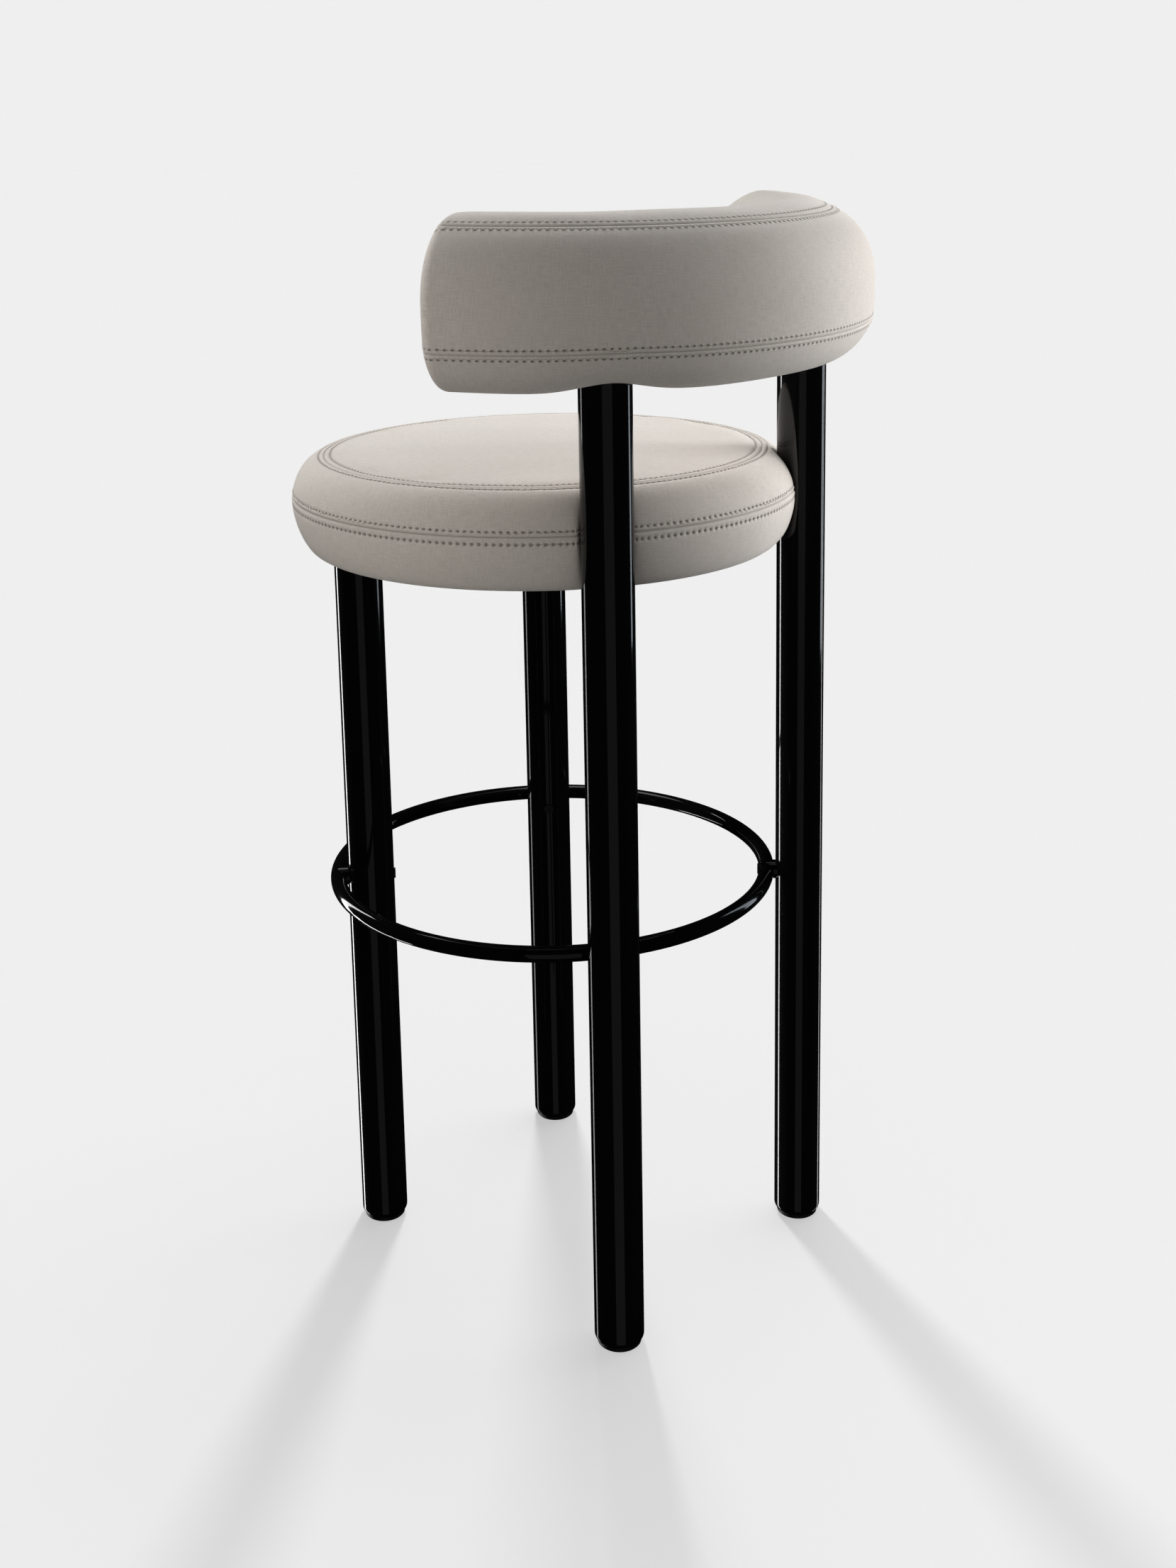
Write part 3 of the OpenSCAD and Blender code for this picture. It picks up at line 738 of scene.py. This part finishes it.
BACK_R = 217.5           # radius of the roll's middle line
BACK_HT = 72.3           # half its thickness
BACK_HH = 67.8           # half its height
BACK_Z = 884.0
RISE = 3.0               # of the middle line towards the tips, at 60 degrees
DIMPLE = 8.0             # rise of the underside round a rear leg
HALF = 64.0              # half the angle it wraps round, without its tips
TIP_L = 14.0
TIP_N = 2.5              # how square the tips are
UP_SEAM = 62.0           # section angles of the seams
LOW_SEAM = -18.0
ARC_COLUMNS = 230
TIP_COLUMNS = 44


def squareness(outer, upper):
    """Exponent of each quarter of the section: 2 is an ellipse, and more is squarer."""
    return np.where(upper, np.where(outer, 2.1, 1.5), np.where(outer, 3.2, 2.2))


def section(az, t, k, inset=0.0):
    """Point of the backrest at azimuth az and section angle t, for a section scaled by k."""
    ct = np.cos(np.radians(t))
    st = np.sin(np.radians(t))
    n = squareness(ct >= 0, st >= 0)
    dip = DIMPLE * (np.exp(-((az - REAR_AZ) / 8) ** 2) + np.exp(-((az + REAR_AZ) / 8) ** 2))
    r = BACK_R + (BACK_HT - inset) * k * spow(ct, 2 / n)
    middle = BACK_Z + RISE * (az / 60) ** 2
    z = middle + (BACK_HH - inset) * k * spow(st, 2 / n) + np.where(st < 0, dip * st ** 2, 0) * k
    a = np.radians(az)
    return np.stack([r * np.sin(a), r * np.cos(a), z], -1)


def tip_azimuth(k, inset=0.0):
    """Azimuth at which a tip's section is scaled by k."""
    q = (1 - np.clip(k, 0, 1) ** TIP_N) ** (1 / TIP_N)
    return HALF + np.degrees(q * (TIP_L - inset) / BACK_R)


def back_stations(inset, arc_columns, tip_columns, end):
    """Azimuths and scales of the sections from one tip to the other."""
    f = np.radians(np.linspace(0, end, tip_columns + 1))[1:]
    k = np.cos(f) ** (2 / TIP_N)
    az = tip_azimuth(k, inset)
    arc = np.linspace(-HALF, HALF, arc_columns)
    return np.r_[-az[::-1], arc, az], np.r_[k[::-1], np.ones(arc_columns), k]


def outline_angle(x, z):
    """Section angle and scale of a place x outwards and z up from the middle of a section."""
    n = squareness(x >= 0, z >= 0)
    fx = (np.abs(x) / BACK_HT) ** n
    fz = (np.abs(z) / BACK_HH) ** n
    k = (fx + fz) ** (1 / n)
    t = np.arctan2(np.sign(z) * np.sqrt(fz), np.sign(x) * np.sqrt(fx))
    return np.degrees(t), k


def section_place(t):
    """Place on the section's outer half at an angle, outwards and upwards from its middle."""
    ct = math.cos(math.radians(t))
    st = math.sin(math.radians(t))
    n = float(squareness(True, st >= 0))
    return np.array([BACK_HT * ct ** (2 / n), BACK_HH * st * abs(st) ** (2 / n - 1)])


def band_end():
    """Where the seam crosses a tip, as section angles and scales, from the upper to the lower seam."""
    start = section_place(UP_SEAM)
    end = section_place(LOW_SEAM)
    w = np.linspace(0, 1, 300)[1:-1, None]
    inwards = np.array([end[1] - start[1], start[0] - end[0]]) / np.linalg.norm(end - start)
    line = start + (end - start) * w + inwards * 32 * (4 * w * (1 - w)) ** 0.75
    t, k = outline_angle(line[:, 0], line[:, 1])
    return t, np.minimum(k, 1)


def band_loop():
    """The closed seam of the outer band: along the top, over one tip, back below and over the other."""
    arc = np.linspace(-HALF, HALF, 700)
    t, k = band_end()
    tip = section(tip_azimuth(k), t, k)
    other = section(-tip_azimuth(k), t, k)[::-1]
    upper = section(arc, np.full(len(arc), UP_SEAM), 1.0)
    lower = section(arc[::-1], np.full(len(arc), LOW_SEAM), 1.0)
    return np.vstack([upper, tip, lower, other])


def back_row(z):
    """Distance of the stitches from the seam: 4 mm at the lower seam, 6 mm at the upper one."""
    return 4 + 2 * np.clip((z - BACK_Z) / 40, 0, 1)


def back_held(p):
    """The backrest is fixed where the rear legs go in."""
    return 0.9 if side_distance(p, REAR) < 26 and p[2] < 850 else 0.0


def seam_places(P, loop):
    """For each point, its distance to a closed seam line, and its place along it."""
    closed = np.vstack([loop, loop[:1]])
    run = run_of(closed)
    dense = np.arange(0, run[-1], 0.5)
    points = np.stack([np.interp(dense, run, closed[:, i]) for i in range(3)], -1)
    find = KDTree(len(points))
    for i, point in enumerate(points):
        find.insert(point, i)
    find.balance()
    near = np.array([find.find(point)[1] for point in P.reshape(-1, 3)])
    way = np.roll(points, -1, 0) - np.roll(points, 1, 0)
    way /= np.linalg.norm(way, axis=1, keepdims=True)
    off = P.reshape(-1, 3) - points[near]
    slide = (off * way[near]).sum(1)
    distance = np.sqrt(np.maximum((off ** 2).sum(1) - slide ** 2, 0))
    shape = P.shape[:2]
    return distance.reshape(shape), (dense[near] + slide).reshape(shape), run[-1]


def make_back():
    fine = np.linspace(180, -180, 1441)
    outline = section(np.zeros_like(fine), fine, 1.0)[:, 1:]
    s_up, s_low = np.interp([UP_SEAM, LOW_SEAM], fine[::-1], run_of(outline)[::-1])

    def spacing(s):
        return fine_near(min(abs(s - s_up), abs(s - s_low)), 3.2)

    _, at, run = resample(outline, spacing, (s_up, s_low))
    t = np.interp(at, run, fine)[:-1]
    at = at[:-1]
    az, k = back_stations(0.0, ARC_COLUMNS, TIP_COLUMNS, 89.6)
    tt = t[:, None] + 0 * az
    aa = az[None, :] + 0 * tt
    kk = k[None, :] + 0 * tt
    P = section(aa, tt, kk)
    # foam keeps no ridge where the upper and the lower inner curve meet
    ridge = np.clip((np.abs(t) - 145) / 15, 0, 1)[:, None, None]
    for _ in range(24):
        P = P + ridge * ((np.roll(P, 1, 0) + np.roll(P, -1, 0)) / 4 - P / 2)
    small_az, small_k = back_stations(SLACK, 70, 8, 88)
    small_t = np.linspace(180, -180, 73)[:-1, None]
    small = section(small_az + 0 * small_t, small_t + 0 * small_az, small_k + 0 * small_t, SLACK)
    tree = puffed("back_sim", small, back_held)
    N = -normals(P)
    for j, way in ((0, -1), (-1, 1)):
        a = math.radians(az[j])
        N[:, j] = (way * math.cos(a), -way * math.sin(a), 0)
    loop = band_loop()
    d, u, length = seam_places(P, loop)
    # on the tips the band is the part outside the seam's curve
    end_t, end_k = band_end()
    past_seam = np.where(np.abs(aa) > HALF, np.interp(tt, end_t[::-1], end_k[::-1]), 0)
    in_band = (tt > LOW_SEAM) & (tt < UP_SEAM) & (kk >= past_seam)
    lift = soften(swell(P, N, tree), 16)
    # soft, uneven filling, held down by the seam
    x = np.radians(az)[None, :] * BACK_R
    y = at[:, None]
    lift += 0.35 * np.sin(x / 43 + 0.7) * np.sin(y / 31) + 0.2 * np.sin(x / 19 + y / 27)
    lift *= 1 - np.exp(-(d / 12.0) ** 2)
    row = back_row(P[..., 2])
    lift *= np.clip((kk - 0.6) / 0.35, 0, 1)
    lift += seam_relief(d, row) * np.clip((kk - 0.8) / 0.15, 0, 1)
    P = P + N * lift[..., None]
    nu, nv = P.shape[:2]
    ends = section(np.array([-tip_azimuth(0.0), tip_azimuth(0.0)]), np.zeros(2), np.zeros(2))
    verts = np.vstack([P.reshape(-1, 3), ends])
    verts[:, 1] += SEAT_Y / MM
    faces = grid_faces(nu, nv)
    for i in range(nu):
        j = (i + 1) % nu
        faces.append((j * nv, i * nv, nu * nv))
        faces.append((i * nv + nv - 1, j * nv + nv - 1, nu * nv + 1))
    ob = mesh_object("backrest_cushion", verts * MM, faces, MATS["upholstery_fabric"])
    # the cloth runs round the roll, and flat across its ends
    wrapped = np.c_[(np.radians(aa) * (BACK_R + BACK_HT)).ravel(), (y + 0 * aa).ravel()]
    face_on = np.c_[(np.hypot(P[..., 0], P[..., 1]) - BACK_R).ravel(), P[..., 2].ravel()]
    tail = np.array([[0, BACK_Z], [0, BACK_Z]])
    flat = np.r_[(kk < 0.86).ravel(), True, True]
    set_uv(ob, "weave", np.vstack([wrapped, tail]) * MM, np.vstack([face_on, tail]) * MM, flat,
           run[-1] * MM, 1)
    count = round(length * MM / STITCH)
    su = u * count * STITCH / length
    sv = np.where(in_band, -1, 1) * d * ROW / row
    seam_uv = np.vstack([np.c_[su.ravel(), sv.ravel()], np.full((2, 2), 0.04)])
    set_uv(ob, "seam", seam_uv, period=count * STITCH)
    loop[:, 1] += SEAT_Y / MM
    row = back_row(loop[:, 2])
    return ob, [(loop, count, (row, -row))]


back, back_loops = make_back()
back_thread = stitched("backrest_stitching", back, back_loops)

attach(seat, "root")
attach(back, "root")
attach(seat_thread, "root")
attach(back_thread, "root")
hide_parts("seat_foam", "seat_top_panel", "seat_side_band", "seat_lower_panel")
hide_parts("backrest_foam", "backrest_outer_band", "backrest_inner_wrap")

# ---- studio ----

PALE = 0.863                 # how bright the floor and the backdrop look
ALBEDO = 0.5                 # how much of the lights' light the floor gives back
SKY = 0.08
FAN_AT = about(177.5, 0.70, 0)
FAN_Z = 0.8
FAN = 0.225                  # share of the floor's brightness under the lamp behind the object
VEIL = 0.03                  # share of the soft light from overhead
SIDE = 0.11                  # share of the soft light from behind on the right
STUDIO_R = 40


def collection(name, members):
    out = bpy.data.collections.new(name)
    for member in members:
        out.objects.link(member)
    return out


# legs that take only a faint line on the left
FAINT = [NODES["rear_leg_left"], NODES["front_leg_right"]]
cushions = collection("lit_cushions", (seat, back, seat_thread, back_thread))
hard = collection("lit_hard_parts", NODES.values())
posts = collection("floor_shadow_casters",
                   [ob for name, ob in NODES.items() if "leg" in name or "glide" in name])
far_leg = collection("lit_far_leg", [NODES["rear_leg_right"]])
faint = collection("faint_left_line", FAINT)
plain = collection("strong_left_line", [ob for ob in NODES.values() if ob not in FAINT])

# the floor is evenly pale wherever no light is blocked
ground = Graph("studio_floor")
x, y = ground.split(ground.coord())[:2]
dx = ground.math("SUBTRACT", x, FAN_AT.x)
dy = ground.math("SUBTRACT", y, FAN_AT.y)
flat_2 = ground.math("ADD", ground.math("MULTIPLY", dx, dx), ground.math("MULTIPLY", dy, dy))
away = ground.math("SQRT", ground.math("ADD", flat_2, FAN_Z ** 2))
pool = ground.math("MULTIPLY", ground.math("DIVIDE", FAN_Z, away), FAN)
glow = ground.glow(PALE)
ground.put(glow.inputs[1], ground.math("SUBTRACT", PALE - ALBEDO * SKY - VEIL - SIDE, pool))
diffuse = ground.tree.nodes.new("ShaderNodeBsdfDiffuse")
diffuse.inputs[0].default_value = (ALBEDO, ALBEDO, ALBEDO, 1)
both = ground.tree.nodes.new("ShaderNodeAddShader")
ground.put(both.inputs[0], glow.outputs[0])
ground.put(both.inputs[1], diffuse.outputs[0])
ground.put(ground.surface, both.outputs[0])
sky = Graph("studio_backdrop")
sky.glow(PALE)

CORNERS = 96
turns = [2 * math.pi * i / CORNERS for i in range(CORNERS)]
rim = [(STUDIO_R * math.cos(a), STUDIO_R * math.sin(a), -0.0002) for a in turns]
me = bpy.data.meshes.new("floor")
me.from_pydata(rim, [], [tuple(range(CORNERS))])
me.materials.append(ground.mat)
floor = bpy.data.objects.new("floor", me)
bm = bmesh.new()
bmesh.ops.create_uvsphere(bm, u_segments=48, v_segments=24, radius=STUDIO_R)
me = bpy.data.meshes.new("backdrop")
bm.to_mesh(me)
bm.free()
me.materials.append(sky.mat)
drop = bpy.data.objects.new("backdrop", me)
for ob in (floor, drop):
    sc.collection.objects.link(ob)
    ob.visible_glossy = False
    ob.visible_shadow = False
    ob.visible_diffuse = False
only_floor = collection("floor_only", (floor,))

world = bpy.data.worlds.new("studio")
sc.world = world
world.use_nodes = True
background = world.node_tree.nodes["Background"]
background.inputs[0].default_value = (1, 1, 1, 1)
background.inputs[1].default_value = SKY
world.cycles_visibility.glossy = False


def lamp(light, place, lit, casters=None):
    """Adds a light that reaches only the objects in a collection."""
    ob = bpy.data.objects.new(light.name, light)
    sc.collection.objects.link(ob)
    ob.location = place
    ob.visible_camera = False
    ob.light_linking.receiver_collection = lit
    if casters:
        ob.light_linking.blocker_collection = casters
    return ob


def softbox(name, place, aim, size, radiance, lit, color=(1, 1, 1)):
    light = bpy.data.lights.new(name, "AREA")
    light.shape = "RECTANGLE"
    light.size, light.size_y = size
    light.energy = radiance * math.pi * size[0] * size[1]
    light.color = color
    ob = lamp(light, place, lit)
    ob.rotation_euler = (Vector(aim) - place).to_track_quat("-Z", "Y").to_euler()


# softboxes round the cushions, by angle from the camera, rise and radiance
BOX_OUT = 2.5
BOX_SIZE = (1.2, 1.2)
WARM = (1.0, 0.97, 0.925)
WHITE = (1, 1, 1)
pads = Vector((0, SEAT_Y, 0.8))
for angle, rise, power, tint in (
        (-120, 5, 10.3, WHITE), (-97, 5, 8.6, WHITE), (-105, 15, 1.2, WHITE), (150, 45, 6.4, WHITE),
        (120, 45, 2.8, WHITE), (165, 30, 3.8, WHITE), (60, 5, 3.1, WARM), (90, 45, 1.4, WHITE),
        (0, 25, 1.0, WARM), (60, -35, 0.9, WARM), (30, -35, 0.7, WARM)):
    q = math.radians(rise)
    place = about(angle, BOX_OUT * math.cos(q), pads.z + BOX_OUT * math.sin(q))
    softbox("softbox_%d_%d" % (angle % 360, rise % 360), place, pads, BOX_SIZE, power, cushions, tint)
# tall strips that draw the lines down the lacquered legs, and weak cards in front of and above them
low = Vector((0, SEAT_Y, -0.3))
left = about(121, 2.2, low.z)
softbox("strip_left", left, low, (0.32, 4.6), 9.0, plain)
softbox("strip_left_faint", left, low, (0.32, 4.6), 2.2, faint)
softbox("strip_right", about(-110, 2.2, 1.0), (0, SEAT_Y, 1.0), (0.4, 2.0), 2.6, hard, (0.82, 0.91, 1.0))
softbox("strip_far", about(-122, 2.2, low.z), low, (0.2, 4.6), 3.0, far_leg)
softbox("front_card", about(-3, 2.6, -0.6), (0, SEAT_Y, -0.6), (1.5, 3.0), 0.12, hard)
softbox("top_card", about(150, 0.8, 2.6), (0, SEAT_Y, 0.6), (1.2, 1.2), 2.0, hard)

# a lamp behind the object spreads the legs' shadows towards the camera
fan = bpy.data.lights.new("floor_fan", "POINT")
fan.shadow_soft_size = 0.06
fan.use_nodes = True
fall = fan.node_tree.nodes.new("ShaderNodeLightFalloff")
fall.inputs["Strength"].default_value = 1.0
fan.node_tree.links.new(fall.outputs["Constant"], fan.node_tree.nodes["Emission"].inputs["Strength"])
fan.energy = FAN * 4 * math.pi * math.pi / ALBEDO
lamp(fan, FAN_AT + Vector((0, 0, FAN_Z)), only_floor, posts)
for name, share, spread, angle, rise in (
        ("floor_veil", VEIL, 70, 0, 90), ("floor_side", SIDE, 75, -148, 42)):
    sun = bpy.data.lights.new(name, "SUN")
    sun.angle = math.radians(spread)
    q = math.radians(rise)
    sun.energy = share / ALBEDO * math.pi / math.sin(q)
    towards = about(angle, math.cos(q), math.sin(q)) - Vector((0, SEAT_Y, 0))
    ob = lamp(sun, (0, 0, 0), only_floor, posts)
    ob.rotation_euler = towards.to_track_quat("Z", "Y").to_euler()
